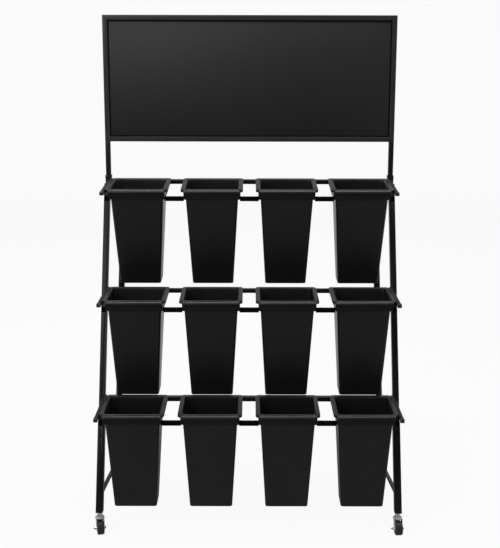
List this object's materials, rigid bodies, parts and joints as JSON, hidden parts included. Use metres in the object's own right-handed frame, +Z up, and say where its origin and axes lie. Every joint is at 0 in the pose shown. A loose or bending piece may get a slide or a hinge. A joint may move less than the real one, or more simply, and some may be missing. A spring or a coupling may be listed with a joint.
{
  "type": "flower bucket display stand",
  "caption": "Rolling stand with stepped tiers of lift-out tapered buckets hung in carrier rings, an inclined telescoping frame, swivel casters and a framed display board on top.",
  "frame": {"origin": "on the floor, at the middle of the stand's overall width and depth", "axes": "+X to the right as seen from the front, +Y to the back, +Z up"},
  "size_m": [1.1178, 0.5968, 1.839],
  "materials": {
    "frame_coating": "satin black powder coat over steel tube and flat bar",
    "bucket_plastic": "satin black injection-moulded plastic",
    "board_sheet": "smooth charcoal display sheet",
    "zinc_steel": "bright zinc plate",
    "wheel_rubber": "matte dark grey rubber",
    "cap_plastic": "matte black plastic",
    "black_fasteners": "blackened steel"
  },
  "bodies": {
    "frame": {"tier_1_carrier_rings": "frame_coating", "tier_1_front_ties": "frame_coating", "tier_1_rear_rail": "frame_coating", "tier_1_arm_left": "frame_coating", "arm_end_caps": "cap_plastic", "arm_bolts": "black_fasteners", "tier_1_arm_right": "frame_coating", "tier_2_carrier_rings": "frame_coating", "tier_2_front_ties": "frame_coating", "tier_2_rear_rail": "frame_coating", "tier_2_arm_left": "frame_coating", "tier_2_arm_right": "frame_coating", "tier_3_carrier_rings": "frame_coating", "tier_3_front_ties": "frame_coating", "tier_3_rear_rail": "frame_coating", "tier_3_arm_left": "frame_coating", "tier_3_arm_right": "frame_coating", "upper_leg_left": "frame_coating", "lower_leg_left": "frame_coating", "rear_leg_left": "frame_coating", "base_stretcher_left": "frame_coating", "board_post_left": "frame_coating", "post_sockets": "frame_coating", "socket_screws": "black_fasteners", "sleeve_bolts": "black_fasteners", "upper_leg_right": "frame_coating", "lower_leg_right": "frame_coating", "rear_leg_right": "frame_coating", "base_stretcher_right": "frame_coating", "board_post_right": "frame_coating", "top_crossbar": "frame_coating", "rear_crossbar": "frame_coating", "board_frame": "frame_coating", "board_panel": "board_sheet", "leg_plugs": "cap_plastic", "caster_stems": "zinc_steel"},
    "tier_1_bucket_1": {"tier_1_bucket_1": "bucket_plastic"},
    "tier_1_bucket_2": {"tier_1_bucket_2": "bucket_plastic"},
    "tier_1_bucket_3": {"tier_1_bucket_3": "bucket_plastic"},
    "tier_1_bucket_4": {"tier_1_bucket_4": "bucket_plastic"},
    "tier_2_bucket_1": {"tier_2_bucket_1": "bucket_plastic"},
    "tier_2_bucket_2": {"tier_2_bucket_2": "bucket_plastic"},
    "tier_2_bucket_3": {"tier_2_bucket_3": "bucket_plastic"},
    "tier_2_bucket_4": {"tier_2_bucket_4": "bucket_plastic"},
    "tier_3_bucket_1": {"tier_3_bucket_1": "bucket_plastic"},
    "tier_3_bucket_2": {"tier_3_bucket_2": "bucket_plastic"},
    "tier_3_bucket_3": {"tier_3_bucket_3": "bucket_plastic"},
    "tier_3_bucket_4": {"tier_3_bucket_4": "bucket_plastic"},
    "caster_front_left_swivel": {"caster_front_left_fork": "zinc_steel", "caster_front_left_axle": "zinc_steel"},
    "caster_front_left_wheel": {"caster_front_left_wheel": "wheel_rubber"},
    "caster_front_right_swivel": {"caster_front_right_fork": "zinc_steel", "caster_front_right_axle": "zinc_steel"},
    "caster_front_right_wheel": {"caster_front_right_wheel": "wheel_rubber"},
    "caster_rear_left_swivel": {"caster_rear_left_fork": "zinc_steel", "caster_rear_left_axle": "zinc_steel"},
    "caster_rear_left_wheel": {"caster_rear_left_wheel": "wheel_rubber"},
    "caster_rear_right_swivel": {"caster_rear_right_fork": "zinc_steel", "caster_rear_right_axle": "zinc_steel"},
    "caster_rear_right_wheel": {"caster_rear_right_wheel": "wheel_rubber"}
  },
  "joints": [
    {"name": "tier_1_bucket_1_lift", "type": "slide", "parent": "frame", "child": "tier_1_bucket_1", "axis": [0, -0.24, 0.9708], "range_m": [0, 0.36]},
    {"name": "tier_1_bucket_2_lift", "type": "slide", "parent": "frame", "child": "tier_1_bucket_2", "axis": [0, -0.24, 0.9708], "range_m": [0, 0.36]},
    {"name": "tier_1_bucket_3_lift", "type": "slide", "parent": "frame", "child": "tier_1_bucket_3", "axis": [0, -0.24, 0.9708], "range_m": [0, 0.36]},
    {"name": "tier_1_bucket_4_lift", "type": "slide", "parent": "frame", "child": "tier_1_bucket_4", "axis": [0, -0.24, 0.9708], "range_m": [0, 0.36]},
    {"name": "tier_2_bucket_1_lift", "type": "slide", "parent": "frame", "child": "tier_2_bucket_1", "axis": [0, -0.1769, 0.9842], "range_m": [0, 0.32]},
    {"name": "tier_2_bucket_2_lift", "type": "slide", "parent": "frame", "child": "tier_2_bucket_2", "axis": [0, -0.1769, 0.9842], "range_m": [0, 0.32]},
    {"name": "tier_2_bucket_3_lift", "type": "slide", "parent": "frame", "child": "tier_2_bucket_3", "axis": [0, -0.1769, 0.9842], "range_m": [0, 0.32]},
    {"name": "tier_2_bucket_4_lift", "type": "slide", "parent": "frame", "child": "tier_2_bucket_4", "axis": [0, -0.1769, 0.9842], "range_m": [0, 0.32]},
    {"name": "tier_3_bucket_1_lift", "type": "slide", "parent": "frame", "child": "tier_3_bucket_1", "axis": [0, -0.1648, 0.9863], "range_m": [0, 0.26]},
    {"name": "tier_3_bucket_2_lift", "type": "slide", "parent": "frame", "child": "tier_3_bucket_2", "axis": [0, -0.1648, 0.9863], "range_m": [0, 0.26]},
    {"name": "tier_3_bucket_3_lift", "type": "slide", "parent": "frame", "child": "tier_3_bucket_3", "axis": [0, -0.1648, 0.9863], "range_m": [0, 0.26]},
    {"name": "tier_3_bucket_4_lift", "type": "slide", "parent": "frame", "child": "tier_3_bucket_4", "axis": [0, -0.1648, 0.9863], "range_m": [0, 0.26]},
    {"name": "caster_front_left_swivel_turn", "type": "hinge", "parent": "frame", "child": "caster_front_left_swivel", "pos_m": [-0.53662, -0.1541, 0.058], "axis": [0, 0, 1], "continuous": true},
    {"name": "caster_front_left_wheel_spin", "type": "hinge", "parent": "caster_front_left_swivel", "child": "caster_front_left_wheel", "pos_m": [-0.53276, -0.16756, 0.025], "axis": [-0.9613, -0.2756, 0], "continuous": true},
    {"name": "caster_front_right_swivel_turn", "type": "hinge", "parent": "frame", "child": "caster_front_right_swivel", "pos_m": [0.53738, -0.1541, 0.058], "axis": [0, 0, 1], "continuous": true},
    {"name": "caster_front_right_wheel_spin", "type": "hinge", "parent": "caster_front_right_swivel", "child": "caster_front_right_wheel", "pos_m": [0.53909, -0.168, 0.025], "axis": [-0.9925, -0.1219, 0], "continuous": true},
    {"name": "caster_rear_left_swivel_turn", "type": "hinge", "parent": "frame", "child": "caster_rear_left_swivel", "pos_m": [-0.52662, 0.25842, 0.058], "axis": [0, 0, 1], "continuous": true},
    {"name": "caster_rear_left_wheel_spin", "type": "hinge", "parent": "caster_rear_left_swivel", "child": "caster_rear_left_wheel", "pos_m": [-0.52371, 0.27212, 0.025], "axis": [0.9781, -0.2079, 0], "continuous": true},
    {"name": "caster_rear_right_swivel_turn", "type": "hinge", "parent": "frame", "child": "caster_rear_right_swivel", "pos_m": [0.52738, 0.25842, 0.058], "axis": [0, 0, 1], "continuous": true},
    {"name": "caster_rear_right_wheel_spin", "type": "hinge", "parent": "caster_rear_right_swivel", "child": "caster_rear_right_wheel", "pos_m": [0.52495, 0.27221, 0.025], "axis": [0.9848, 0.1736, 0], "continuous": true}
  ]
}
